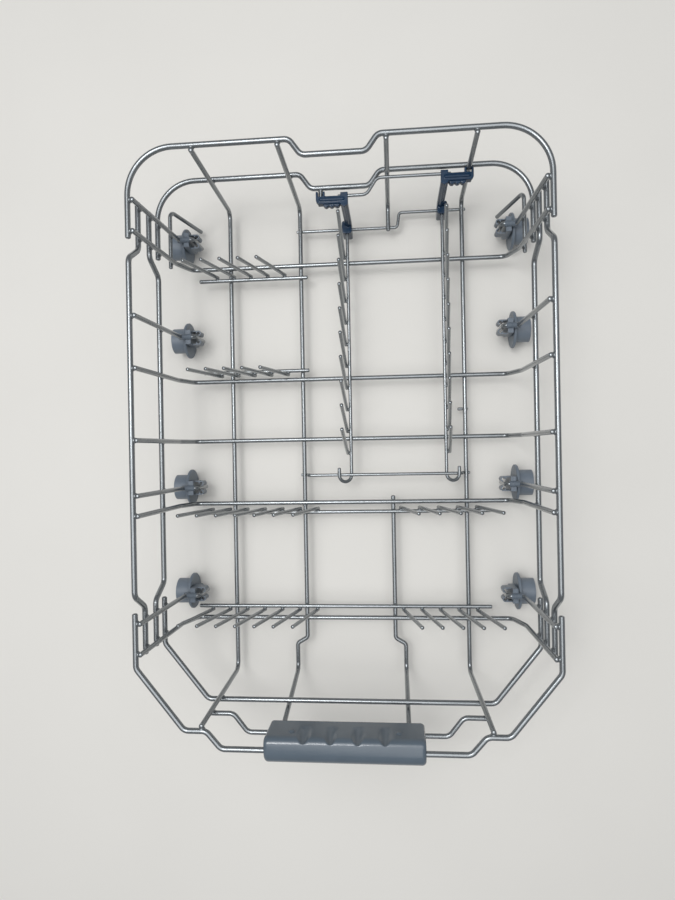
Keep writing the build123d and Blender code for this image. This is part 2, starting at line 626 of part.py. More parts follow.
# Clips: bearing block on the rear pivot wire, arm, and a ribbed bar with a wavy jaw and two ears
def clip(side: int, axis_x: float, pivot_y: float) -> Part:
    """Spring clip for the rear end of one fold-down row; side is the way its bar points."""
    wide, deep, tall = CLIP_BLOCK
    arm_wide, arm_deep = CLIP_ARM
    block_z = UNDER_HEIGHT - PIVOT_WIRE
    block_top = block_z + tall
    leaf_z = CLIP_HEIGHT - CLIP_LEAF / 2
    wire_y = pivot_y + CLIP_WIRE_BACK
    bar_y = pivot_y + CLIP_WIRE_BACK / 2
    arm_x = axis_x - side * CLIP_ARM_SHIFT
    ear_gap = BODY_WIRE / 2
    bar_end = axis_x + side * (CLIP_REACH + ear_gap + CLIP_EAR)
    bar_start = arm_x - side * arm_wide / 2
    bar = abs(bar_end - bar_start)
    wave_pitch = CLIP_REACH / (CLIP_WAVES + 1)
    with BuildPart() as body:
        with Locations((axis_x, pivot_y + PIVOT_WIRE - deep / 2, block_z + tall / 2)):
            Box(wide, deep, tall)
        fillet(body.edges().filter_by(Axis.Z), CLIP_EAR)
        with BuildSketch(Plane.XY.offset(block_top)):
            with Locations((arm_x, pivot_y)):
                RectangleRounded(arm_wide, arm_deep, CLIP_RIB)
            with Locations((arm_x, pivot_y - arm_deep / 2)):
                Circle(CLIP_RIB)
        extrude(amount=leaf_z + CLIP_LEAF - block_top)
        with BuildSketch(Plane.XY.offset(leaf_z - CLIP_WAVE_DROP + CLIP_LEAF / 2)):
            with Locations(((arm_x + bar_end) / 2, pivot_y + CLIP_WAVE_R / 2)):
                Rectangle(abs(bar_end - arm_x) - arm_wide / 2, CLIP_WAVE_R)
            for index in range(CLIP_WAVES):
                with Locations((axis_x + side * (index + 1) * wave_pitch, pivot_y)):
                    Circle(CLIP_WAVE_R)
        extrude(amount=CLIP_WAVE_DROP)
        with BuildSketch(Plane.XY.offset(leaf_z)):
            with Locations(((bar_start + bar_end) / 2, bar_y)):
                SlotOverall(bar, CLIP_WIRE_BACK)
            with Locations((arm_x, (pivot_y + wire_y + CLIP_WIRE) / 2)):
                Rectangle(arm_wide, wire_y + CLIP_WIRE - pivot_y)
            for way in (-1, 1):
                ear_x = axis_x + side * CLIP_REACH + way * (ear_gap + CLIP_EAR / 2)
                with Locations((ear_x, (bar_y + wire_y + CLIP_EAR_REACH) / 2)):
                    Rectangle(CLIP_EAR, wire_y + CLIP_EAR_REACH - bar_y)
        extrude(amount=CLIP_LEAF)
        with BuildSketch(Plane.XY.offset(leaf_z + CLIP_LEAF)):
            with Locations(((bar_start + bar_end) / 2, bar_y)):
                SlotOverall(bar - CLIP_WIRE_BACK, 2 * CLIP_RIB)
        extrude(amount=CLIP_RIB)
        with BuildSketch(Plane.XZ.offset(-(pivot_y + PIVOT_WIRE - deep))):
            with Locations((axis_x, FOLD_HEIGHT)):
                Circle(FOLD_WIRE / 2 + BEARING_GAP)
        extrude(amount=-(deep - PIVOT_WIRE - PIVOT_WIRE / 2), mode=Mode.SUBTRACT)
        with Locations(Location((axis_x, pivot_y, UNDER_HEIGHT), (0, 90, 0))):
            Cylinder(PIVOT_WIRE / 2, 2 * wide, mode=Mode.SUBTRACT)
        with Locations((axis_x, pivot_y, block_z)):
            Box(2 * wide, CLIP_MOUTH, 2 * PIVOT_WIRE, mode=Mode.SUBTRACT)
        with Locations(Location((axis_x, wire_y, CLIP_HEIGHT), (0, 90, 0))):
            Cylinder(CLIP_WIRE / 2, 2 * arm_wide, mode=Mode.SUBTRACT)
    return body.part


keep(clip(-1, FOLD_LEFT_X, pivot_left_y), "clip_left")
keep(clip(1, FOLD_RIGHT_X, pivot_right_y), "clip_right")

# Grip: moulded cover over the rim and the grip wire, open below, with finger scallops behind
grip_top_z = RIM_HEIGHT + RIM_WIRE / 2 + GRIP_WALL
grip_front_y = GRIP_Y - RIM_WIRE / 2 - GRIP_FRONT
grip_rear_y = grip_front_y + GRIP_DEPTH
scallop_xs = [(index - (SCALLOPS - 1) / 2) * SCALLOP_PITCH for index in range(SCALLOPS)]
screw_z = RIM_HEIGHT - SCREW_BELOW_RIM
with BuildPart() as grip:
    with BuildSketch(Plane.YZ):
        with BuildLine():
            FilletPolyline(
                (grip_rear_y, grip_top_z - GRIP_REAR_DROP),
                (grip_rear_y, grip_top_z),
                (grip_front_y, grip_top_z),
                (grip_front_y, grip_top_z - GRIP_DROP),
                radius=[GRIP_RIDGE_R, GRIP_ROUND],
            )
            Line((grip_front_y, grip_top_z - GRIP_DROP), (grip_rear_y, grip_top_z - GRIP_REAR_DROP))
        make_face()
    extrude(amount=GRIP_LENGTH / 2, both=True)
    end_edges = grip.faces().filter_by(Axis.X).edges()
    low_edge_z = RIM_HEIGHT - GRIP_REAR_DROP
    fillet(end_edges.filter_by(lambda edge: edge.center().Z > low_edge_z), GRIP_END_R)
    with BuildSketch(Plane.YZ):
        with BuildLine():
            inner_top = grip_top_z - GRIP_WALL
            FilletPolyline(
                (grip_rear_y - GRIP_WALL - SCALLOP_DEPTH, grip_top_z - 2 * GRIP_DROP),
                (grip_rear_y - GRIP_WALL - SCALLOP_DEPTH, inner_top),
                (grip_front_y + GRIP_WALL, inner_top),
                (grip_front_y + GRIP_WALL, grip_top_z - 2 * GRIP_DROP),
                radius=[0, GRIP_RIDGE_R, GRIP_ROUND - GRIP_WALL, 0],
                close=True,
            )
        make_face()
    extrude(amount=GRIP_LENGTH / 2 - GRIP_WALL, both=True, mode=Mode.SUBTRACT)
    for height, diameter in ((RIM_HEIGHT, RIM_WIRE), (grip_wire_height, BODY_WIRE)):
        with Locations(Location((0, GRIP_Y, height), (0, 90, 0))):
            Cylinder(diameter / 2, GRIP_LENGTH, mode=Mode.SUBTRACT)
    for x in scallop_xs:
        with Locations((x, grip_rear_y + SCALLOP_R - SCALLOP_DEPTH, grip_top_z)):
            Cylinder(SCALLOP_R, 2 * SCALLOP_TALL, mode=Mode.SUBTRACT)
    for way in (-1, 1):
        with Locations(Location((way * SCREW_PITCH / 2, grip_rear_y, screw_z), (90, 0, 0))):
            Cylinder(SCREW_D / 2, 2 * SCREW_DEPTH, mode=Mode.SUBTRACT)
keep(grip.part, "grip")
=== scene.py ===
"""Dresses the lower basket of a slimline dishwasher for its studio picture.

The solids come in as a fixed frame, in metres: +X right, +Y to the rear, +Z up. This script gives each
of them its finish, adds what the dipped coat leaves on the wire, such as rounded ends and beads at the
welds, models the moulded grip, clips and bridges, and sets the floor, the light and the camera.
"""

import logging
from dataclasses import dataclass, field
from enum import Enum, IntEnum
from functools import cache
from math import cos, pi, sin

import bmesh
import bpy
from mathutils import Matrix, Vector
from mathutils.bvhtree import BVHTree


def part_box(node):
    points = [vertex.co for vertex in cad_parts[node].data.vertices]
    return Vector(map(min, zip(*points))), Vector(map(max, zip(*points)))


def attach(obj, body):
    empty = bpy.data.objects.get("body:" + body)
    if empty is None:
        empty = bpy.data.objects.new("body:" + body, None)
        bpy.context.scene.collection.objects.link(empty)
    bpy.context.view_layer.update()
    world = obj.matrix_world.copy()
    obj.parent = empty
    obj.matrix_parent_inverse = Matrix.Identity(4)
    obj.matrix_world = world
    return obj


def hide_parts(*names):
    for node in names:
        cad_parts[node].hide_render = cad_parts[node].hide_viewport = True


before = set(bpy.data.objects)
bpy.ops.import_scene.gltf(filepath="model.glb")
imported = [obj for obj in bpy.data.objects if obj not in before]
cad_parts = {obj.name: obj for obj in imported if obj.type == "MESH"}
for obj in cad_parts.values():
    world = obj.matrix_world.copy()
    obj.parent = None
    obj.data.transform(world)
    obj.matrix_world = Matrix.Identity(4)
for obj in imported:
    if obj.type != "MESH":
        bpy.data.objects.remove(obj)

LOG = logging.getLogger("basket")
MM = 0.001
JOIN = MM / 200
PATCH_OCTAVES = 3.0
GRAIN_OCTAVES = 2.0
OCTAVE_GAIN = 0.5
NOISE_SPAN = (0.3, 0.7)
EDGE_SAMPLES = 4
BASKET = "basket"
BYTE = 255
HEX_BASE = 16
HEX_PARTS = (slice(1, 3), slice(3, 5), slice(5, 7))
SRGB_KNEE = 0.04045
SRGB_SLOPE = 12.92
SRGB_LIFT = 0.055
SRGB_POWER = 2.4

# Points of a section and the ways that they face, as Y and Z
Line = list[tuple[Vector, Vector]]
# The same points in a mesh
Points = list[bmesh.types.BMVert]


class Side(Enum):
    """The two long sides of the basket, by the sign of X."""

    LEFT = -1
    RIGHT = 1

    @property
    def word(self) -> str:
        """Name of the side as the nodes spell it."""
        return self.name.lower()


class Across(IntEnum):
    """Axis that a cut stands across."""

    X = 0
    Y = 1


class Surface(Enum):
    """How a finish was made, as the depth of its grain beside its width."""

    DIPPED = 0.012
    MOULDED = 0.06
    PAPER = 0.01


class ColourMix(IntEnum):
    """Sockets of a mix node that mixes colours."""

    SHARE = 0
    FIRST = 6
    SECOND = 7
    RESULT = 2


def straightened(value: float) -> float:
    """Undo the sRGB curve for one channel, from 0 to 1."""
    if value <= SRGB_KNEE:
        return value / SRGB_SLOPE
    return ((value + SRGB_LIFT) / (1 + SRGB_LIFT)) ** SRGB_POWER


def linear(hex_code: str) -> tuple[float, float, float, float]:
    """Turn an sRGB hex value into a linear colour.

    Args:
        hex_code: Six hex digits after a hash sign.

    Returns:
        Red, green, blue and an alpha of 1.
    """
    red, green, blue = (straightened(int(hex_code[part], HEX_BASE) / BYTE) for part in HEX_PARTS)
    return red, green, blue, 1.0


def add_node(tree: bpy.types.NodeTree, kind: str, inputs: dict, **settings: object) -> bpy.types.Node:
    """Add one node with its settings and links.

    Args:
        tree: Node tree that the node goes into.
        kind: Blender's name for the node type.
        inputs: Input name or number to a value, or to the output socket that feeds it.
        settings: Properties of the node itself.

    Returns:
        The new node.
    """
    node = tree.nodes.new(kind)
    for name, value in settings.items():
        setattr(node, name, value)
    for name, value in inputs.items():
        if isinstance(value, bpy.types.NodeSocket):
            tree.links.new(value, node.inputs[name])
        else:
            node.inputs[name].default_value = value
    return node


@dataclass(frozen=True)
class Finish:
    """One real material: its two tones, its grain and its gloss."""

    name: str
    tone: str
    shade: str
    surface: Surface
    patch_mm: float
    grain_mm: float
    roughness: tuple[float, float]
    ior: float
    metallic: float = 0.0
    coat: float = 0.0
    soft_edge_mm: float = 0.0

    def material(self) -> bpy.types.Material:
        """Build the finish as a node material.

        Returns:
            The material, made once and then found again by its name.
        """
        found = bpy.data.materials.get(self.name)
        if found:
            return found
        made = bpy.data.materials.new(self.name)
        made.use_nodes = True
        tree = made.node_tree
        tree.nodes.clear()
        place = add_node(tree, "ShaderNodeTexCoord", {}).outputs["Object"]
        patches = self.noise(tree, place, self.patch_mm, PATCH_OCTAVES)
        grain = self.noise(tree, place, self.grain_mm, GRAIN_OCTAVES)
        colour = add_node(
            tree,
            "ShaderNodeMix",
            {
                ColourMix.SHARE: patches,
                ColourMix.FIRST: linear(self.tone),
                ColourMix.SECOND: linear(self.shade),
            },
            data_type="RGBA",
        )
        least, most = NOISE_SPAN
        low, high = self.roughness
        gloss = add_node(
            tree,
            "ShaderNodeMapRange",
            {"Value": grain, "From Min": least, "From Max": most, "To Min": low, "To Max": high},
        )
        bump = {"Height": grain, "Strength": 1.0, "Distance": self.grain_mm * self.surface.value * MM}
        if self.soft_edge_mm:
            rounding = {"Radius": self.soft_edge_mm * MM}
            edge = add_node(tree, "ShaderNodeBevel", rounding, samples=EDGE_SAMPLES)
            bump["Normal"] = edge.outputs["Normal"]
        relief = add_node(tree, "ShaderNodeBump", bump)
        shader = add_node(
            tree,
            "ShaderNodeBsdfPrincipled",
            {
                "Base Color": colour.outputs[ColourMix.RESULT],
                "Roughness": gloss.outputs["Result"],
                "Normal": relief.outputs["Normal"],
                "IOR": self.ior,
                "Metallic": self.metallic,
                "Coat Weight": self.coat,
                "Coat Roughness": low,
            },
        )
        add_node(tree, "ShaderNodeOutputMaterial", {"Surface": shader.outputs["BSDF"]})
        return made

    @staticmethod
    def noise(
        tree: bpy.types.NodeTree, place: bpy.types.NodeSocket, size_mm: float, detail: float
    ) -> bpy.types.NodeSocket:
        """Add noise whose lumps are one real size.

        Args:
            tree: Node tree of the material.
            place: Coordinates in metres.
            size_mm: Width of one lump.
            detail: Octaves of finer noise on top.

        Returns:
            The socket with the noise, from 0 to 1.
        """
        scale = 1 / (size_mm * MM)
        settings = {"Vector": place, "Scale": scale, "Detail": detail, "Roughness": OCTAVE_GAIN}
        return add_node(tree, "ShaderNodeTexNoise", settings).outputs[0]


# Steel wire dipped in silver-grey nylon: a satin skin with a slight orange peel and soft tone changes
COATED_WIRE = Finish(
    "nylon_coated_steel_wire",
    tone="#8A8E91",
    shade="#797E81",
    surface=Surface.DIPPED,
    patch_mm=22.0,
    grain_mm=2.4,
    roughness=(0.2, 0.26),
    ior=1.53,
    metallic=0.75,
    coat=0.35,
)
# Moulded polypropylene: blue-grey with a dull, finely eroded skin
ROLLER_PLASTIC = Finish(
    "moulded_polypropylene_roller",
    tone="#717B86",
    shade="#646E79",
    surface=Surface.MOULDED,
    patch_mm=9.0,
    grain_mm=0.8,
    roughness=(0.36, 0.48),
    ior=1.49,
    soft_edge_mm=0.5,
)
# Moulded acetal: a shade darker than the rollers and a little slicker
CARRIER_PLASTIC = Finish(
    "moulded_acetal_carrier",
    tone="#6A747F",
    shade="#5C6671",
    surface=Surface.MOULDED,
    patch_mm=7.0,
    grain_mm=0.8,
    roughness=(0.3, 0.42),
    ior=1.48,
    soft_edge_mm=0.4,
)
# Moulded acetal dyed dark blue, satin
CLIP_PLASTIC = Finish(
    "moulded_blue_acetal_clip",
    tone="#163652",
    shade="#0D243A",
    surface=Surface.MOULDED,
    patch_mm=6.0,
    grain_mm=0.8,
    roughness=(0.16, 0.24),
    ior=1.36,
    soft_edge_mm=0.5,
)
# Moulded ABS in slate grey, glossy
GRIP_PLASTIC = Finish(
    "moulded_abs_grip",
    tone="#5A6671",
    shade="#4F5A64",
    surface=Surface.MOULDED,
    patch_mm=18.0,
    grain_mm=1.0,
    roughness=(0.15, 0.22),
    ior=1.54,
    soft_edge_mm=0.6,
)
# Pale matt paper
FLOOR_PAPER = Finish(
    "pale_matt_paper",
    tone="#DEDCD7",
    shade="#D8D6D1",
    surface=Surface.PAPER,
    patch_mm=180.0,
    grain_mm=3.0,
    roughness=(0.75, 0.85),
    ior=1.45,
)


def dress(nodes: list[str], finish: Finish) -> None:
    """Give CAD nodes a finish.

    Args:
        nodes: Names of the nodes.
        finish: Finish that they all take.
    """
    for name in nodes:
        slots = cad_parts[name].data.materials
        slots.clear()
        slots.append(finish.material())


def named(*starts: str) -> list[str]:
    """List the nodes whose names begin with one of some words.

    Args:
        starts: Beginnings of node names.

    Returns:
        The names, in order.
    """
    return sorted(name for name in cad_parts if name.startswith(starts))


def finished_piece(mesh: bmesh.types.BMesh, name: str, body: str, finish: Finish) -> bpy.types.Object:
    """Turn a bmesh into a smooth piece that rides on a body.

    Args:
        mesh: The shape, which is used up.
        name: Name of the piece.
        body: CAD body that it moves with.
        finish: Finish that it takes.

    Returns:
        The new object.
    """
    data = bpy.data.meshes.new(name)
    for face in mesh.faces:
        face.smooth = True
    mesh.to_mesh(data)
    mesh.free()
    piece = bpy.data.objects.new(name, data)
    bpy.context.scene.collection.objects.link(piece)
    data.materials.append(finish.material())
    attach(piece, body)
    return piece


@cache
def merged(node: str) -> bmesh.types.BMesh:
    """Copy a CAD node's mesh with its loose triangles joined.

    Args:
        node: Name of the node.

    Returns:
        The copy, which stays as it is for measuring and for further copies.
    """
    mesh = bmesh.new()
    mesh.from_mesh(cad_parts[node].data)
    bmesh.ops.remove_doubles(mesh, verts=mesh.verts, dist=JOIN)
    return mesh


@cache
def surface(node: str) -> BVHTree:
    """Make a CAD node's surface ready for finding its nearest points."""
    return BVHTree.FromBMesh(merged(node))


def middle(node: str) -> Vector:
    """Find the middle of a node's box."""
    low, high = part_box(node)
    return (low + high) / 2


@dataclass(frozen=True)
class Ring:
    """A round edge or cut of a wire: its middle, its radius and the way it faces."""

    middle: Vector
    radius: float
    facing: Vector

    @classmethod
    def around(cls, loop: list[bmesh.types.BMEdge]) -> "Ring":
        """Measure a closed loop of edges.

        Args:
            loop: The edges, in any order.

        Returns:
            The ring that they make.
        """
        verts = {vert for edge in loop for vert in edge.verts}
        centre = sum((vert.co for vert in verts), Vector()) / len(verts)
        radius = min((vert.co - centre).length for vert in verts)
        facing = sum((face.normal for edge in loop for face in edge.link_faces), Vector())
        return cls(centre, radius, facing.normalized())

    @classmethod
    def sort(cls, edges: set[bmesh.types.BMEdge]) -> list["Ring"]:
        """Sort edges into the closed loops that they make.

        Args:
            edges: Edges of any number of loops, which are used up.

        Returns:
            One ring for each loop, the widest first.
        """
        rings = []
        while edges:
            loop, reached = [], [edges.pop()]
            while reached:
                edge = reached.pop()
                loop.append(edge)
                beside = {other for vert in edge.verts for other in vert.link_edges} & edges
                edges -= beside
                reached += beside
            rings.append(cls.around(loop))
        return sorted(rings, key=lambda ring: -ring.radius)


def cuts(node: str, across: Across, place: float) -> list[Ring]:
    """Cut a CAD node across and measure the wires in the cut.

    Args:
        node: Name of the node.
        across: Axis that the cut stands across.
        place: Where the cut is along that axis.

    Returns:
        One ring for each wire that passes the cut.
    """
    low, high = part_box(node)
    if not low[across] < place < high[across]:
        return []
    way = Vector()
    way[across] = 1
    mesh = merged(node).copy()
    every = mesh.verts[:] + mesh.edges[:] + mesh.faces[:]
    cut = bmesh.ops.bisect_plane(mesh, geom=every, dist=JOIN, plane_co=way * place, plane_no=way)
    rings = Ring.sort({part for part in cut["geom_cut"] if isinstance(part, bmesh.types.BMEdge)})
    mesh.free()
    return rings


@dataclass(frozen=True)
class WireEnds:
    """Finds the cut ends of wires and rounds them with the coat that gathers there."""

    sharp: float = 0.6
    one_end: float = 1.5 * MM
    dome: float = 0.62
    sides: int = 20
    rows: int = 10

    @cache
    def find(self, node: str) -> list[Ring]:
        """Find the ends of every wire in a node, by the sharp edge round them.

        Args:
            node: Name of the CAD node.

        Returns:
            One ring for each end, which faces out of the wire.
        """
        mesh = merged(node)
        whole = [edge for edge in mesh.edges if edge.is_manifold]
        edges = {edge for edge in whole if edge.calc_face_angle() > self.sharp}
        ends: list[Ring] = []
        for ring in Ring.sort(edges):
            if all((ring.middle - end.middle).length > self.one_end for end in ends):
                ends.append(ring)
        return ends

    def round_off(self, nodes: list[str], name: str, body: str) -> bpy.types.Object:
        """Put a dome of coat on every end of some nodes.

        Args:
            nodes: Names of the CAD nodes.
            name: Name of the new piece.
            body: CAD body that it moves with.

        Returns:
            The piece that holds all the domes.
        """
        mesh = bmesh.new()
        for end in (end for node in nodes for end in self.find(node)):
            scale = Vector((end.radius, end.radius, end.radius * self.dome))
            where = Matrix.LocRotScale(end.middle, end.facing.to_track_quat("Z", "Y"), scale)
            bmesh.ops.create_uvsphere(
                mesh, u_segments=self.sides, v_segments=self.rows, radius=1.0, matrix=where
            )
        return finished_piece(mesh, name, body, COATED_WIRE)


@dataclass
class WeldBeads:
    """The coat that fills the corner where two wires are welded."""

    spread: float = 1.12
    height: float = 0.6
    touching: float = 0.4 * MM
    one_weld: float = 2.5 * MM
    downward: float = -0.5
    smoothness: int = 3
    spots: list[Ring] = field(default_factory=list)

    def add(self, spot: Vector, radius: float, through: Vector) -> None:
        """Note a weld, unless it is noted already.

        Args:
            spot: Point where the wires touch.
            radius: Radius of one of the wires.
            through: Way from one wire to the other.
        """
        if all((spot - other.middle).length > self.one_weld for other in self.spots):
            self.spots.append(Ring(spot, radius, through.normalized()))

    def across(self, node: str, axis: Across, place: float, others: list[str]) -> None:
        """Note the welds of a wire that lies in one plane with the wires that pass through it.

        Args:
            node: Name of the wire's node.
            axis: Axis that the plane stands across.
            place: Where the plane is along that axis.
            others: Names of the nodes that may pass through.
        """
        for ring in (ring for other in others for ring in cuts(other, axis, place)):
            spot, _, _, distance = surface(node).find_nearest(ring.middle)
            if distance < ring.radius + self.touching:
                self.add(spot, ring.radius, ring.middle - spot)

    def feet(self, row: str, base: Ring) -> None:
        """Note the welds at the feet of a row's tines.

        Args:
            row: Name of the row's node.
            base: One end of the wire that carries the tines.
        """
        for end in WireEnds().find(row):
            if end.facing.z < self.downward:
                level = Vector((end.middle.x, end.middle.y, base.middle.z))
                beside = level - base.middle
                beside -= base.facing * beside.dot(base.facing)
                self.add(level - beside + beside.normalized() * base.radius, base.radius, beside)

    def build(self, name: str, body: str) -> bpy.types.Object:
        """Model the beads at all the welds noted.

        Args:
            name: Name of the new piece.
            body: CAD body that it moves with.

        Returns:
            The piece that holds all the beads.
        """
        mesh = bmesh.new()
        for spot in self.spots:
            scale = Vector((self.spread, self.spread, self.height)) * spot.radius
            where = Matrix.LocRotScale(spot.middle, spot.facing.to_track_quat("Z", "Y"), scale)
            bmesh.ops.create_icosphere(mesh, subdivisions=self.smoothness, radius=1.0, matrix=where)
        LOG.info("%s: %d beads", name, len(self.spots))
        return finished_piece(mesh, name, body, COATED_WIRE)


@dataclass
class WireFrame:
    """The welded wire of the basket: rim, ring, floor, walls and fixed rows."""

    rails: tuple[str, ...] = ("rim_", "ring_", "guard_wire")
    hoops: tuple[str, ...] = (
        "rim_rear",
        "rim_front",
        "ring_rear",
        "ring_front",
        "grip_wire",
        "clip_wire",
    )
    under: tuple[str, ...] = ("rear_pivot_wire", "front_pivot_wire", "spare_stub")
    uprights: tuple[str, ...] = ("cross_wire", "roller_wire")
    lengthwise: tuple[str, ...] = ("long_wire",)
    stubs: tuple[str, ...] = ("clip_stub",)
    rows: tuple[str, ...] = ("tine_row",)

    def build(self) -> None:
        """Dress the wires and add their rounded ends and weld beads."""
        carried = self.uprights + self.lengthwise + self.stubs + self.rows
        nodes = named(*self.rails, *self.hoops, *self.under, *carried)
        dress(nodes, COATED_WIRE)
        WireEnds().round_off(nodes, "coat_on_wire_ends", BASKET)
        beads = WeldBeads()
        long_wires = named(*self.lengthwise)
        for node in named(*self.uprights):
            beads.across(node, Across.Y, middle(node).y, named(*self.rails) + long_wires)
        for node in named(*self.rows):
            base = self.base(node)
            beads.across(node, Across.Y, base.middle.y, long_wires)
            beads.feet(node, base)
        for node in long_wires:
            low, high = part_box(node)
            radius = WireEnds().find(node)[0].radius
            for x in (low.x + radius, high.x - radius):
                beads.across(node, Across.X, x, named(*self.hoops + self.under))
        beads.build("coat_on_welds", BASKET)
        LOG.info("wire frame: %d wires", len(nodes))

    @staticmethod
    def base(row: str) -> Ring:
        """Find an end of the wire that carries a fixed row's tines."""
        return max(WireEnds().find(row), key=lambda end: end.facing.x)


@dataclass
class FoldRows:
    """The two hinged rows and the blue clips that hold them."""

    clip_grid: float = 0.3 * MM
    clip_easing: float = 0.5
    clip_rounding: int = 14

    def build(self) -> None:
        """Dress both rows, round their wire ends and welds, and mould the clips."""
        for side in Side:
            row = f"fold_row_{side.word}"
            dress([row], COATED_WIRE)
            WireEnds().round_off([row], f"coat_on_{row}_ends", row)
            beads = WeldBeads()
            beads.feet(row, max(WireEnds().find(row), key=lambda end: end.middle.y * end.facing.y))
            beads.build(f"coat_on_{row}_welds", row)
        for node in named("clip_left", "clip_right"):
            self.mould(node)
        LOG.info("fold rows dressed and clips moulded")

    def mould(self, node: str) -> None:
        """Model a clip with every edge rounded, in place of its solid.

        Args:
            node: Name of the clip's CAD node.
        """
        clip = finished_piece(merged(node).copy(), f"moulded_{node}", BASKET, CLIP_PLASTIC)
        skin = clip.modifiers.new("skin", "REMESH")
        skin.mode = "VOXEL"
        skin.voxel_size = self.clip_grid
        skin.use_smooth_shade = True
        ease = clip.modifiers.new("ease", "SMOOTH")
        ease.factor = self.clip_easing
        ease.iterations = self.clip_rounding
        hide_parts(node)


@dataclass
class RunningGear:
    """The eight rollers and their carriers, with a ribbed bridge over each wire."""

    bridge_start: float = 2.6 * MM
    bridge_length: float = 13.5 * MM
    bridge_wall: float = 0.5 * MM
    bridge_round: float = 0.8 * MM
    rib_rise: float = 0.4 * MM
    rib_pitch: float = 1.5 * MM
    step: float = 0.15 * MM
    sides: int = 24

    def build(self) -> None:
        """Dress the rollers and carriers, and bridge the wires."""
        carriers = named("roller_carrier")
        wires = named("roller_wire")
        rollers = [name for name in named("roller_") if name not in carriers + wires]
        dress(carriers, CARRIER_PLASTIC)
        dress(rollers, ROLLER_PLASTIC)
        mesh = bmesh.new()
        for wire, carrier in zip(wires, carriers):
            self.bridge(mesh, wire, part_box(carrier)[1].z)
        bmesh.ops.recalc_face_normals(mesh, faces=mesh.faces)
        bridges = finished_piece(mesh, "carrier_bridges", BASKET, CARRIER_PLASTIC)
        LOG.info("running gear: %d rollers, %d carriers", len(rollers), len(carriers))

    def bridge(self, mesh: bmesh.types.BMesh, wire: str, height: float) -> None:
        """Add the ribbed bridge round the level part of one roller's wire.

        Args:
            mesh: Mesh that gets the bridge.
            wire: Name of the wire's node.
            height: Z of the wire's level part.
        """
        leg = min(WireEnds().find(wire), key=lambda end: end.middle.z)
        outward = Vector((leg.middle.x, 0, 0)).normalized()
        root = Vector((leg.middle.x, leg.middle.y, height)) + outward * self.bridge_start
        turns = [2 * pi * side / self.sides for side in range(self.sides)]
        ways = [Vector((0, cos(turn), sin(turn))) for turn in turns]
        count = round(self.bridge_length / self.step)
        rings = []
        for index in range(count + 1):
            along = self.bridge_length * index / count
            rib = self.rib_rise * sin(pi * along / self.rib_pitch) ** 2
            depth = max(min(along, self.bridge_length - along, self.bridge_round), 0)
            inset = self.bridge_round - (depth * (2 * self.bridge_round - depth)) ** 0.5
            radius = leg.radius + self.bridge_wall + rib - inset
            centre = root + outward * along
            rings.append([mesh.verts.new(centre + radius * way) for way in ways])
        for ring, following in zip(rings, rings[1:]):
            for at in range(self.sides):
                mesh.faces.new((ring[at - 1], ring[at], following[at], following[at - 1]))
        mesh.faces.new(rings[0])
        mesh.faces.new(rings[-1])


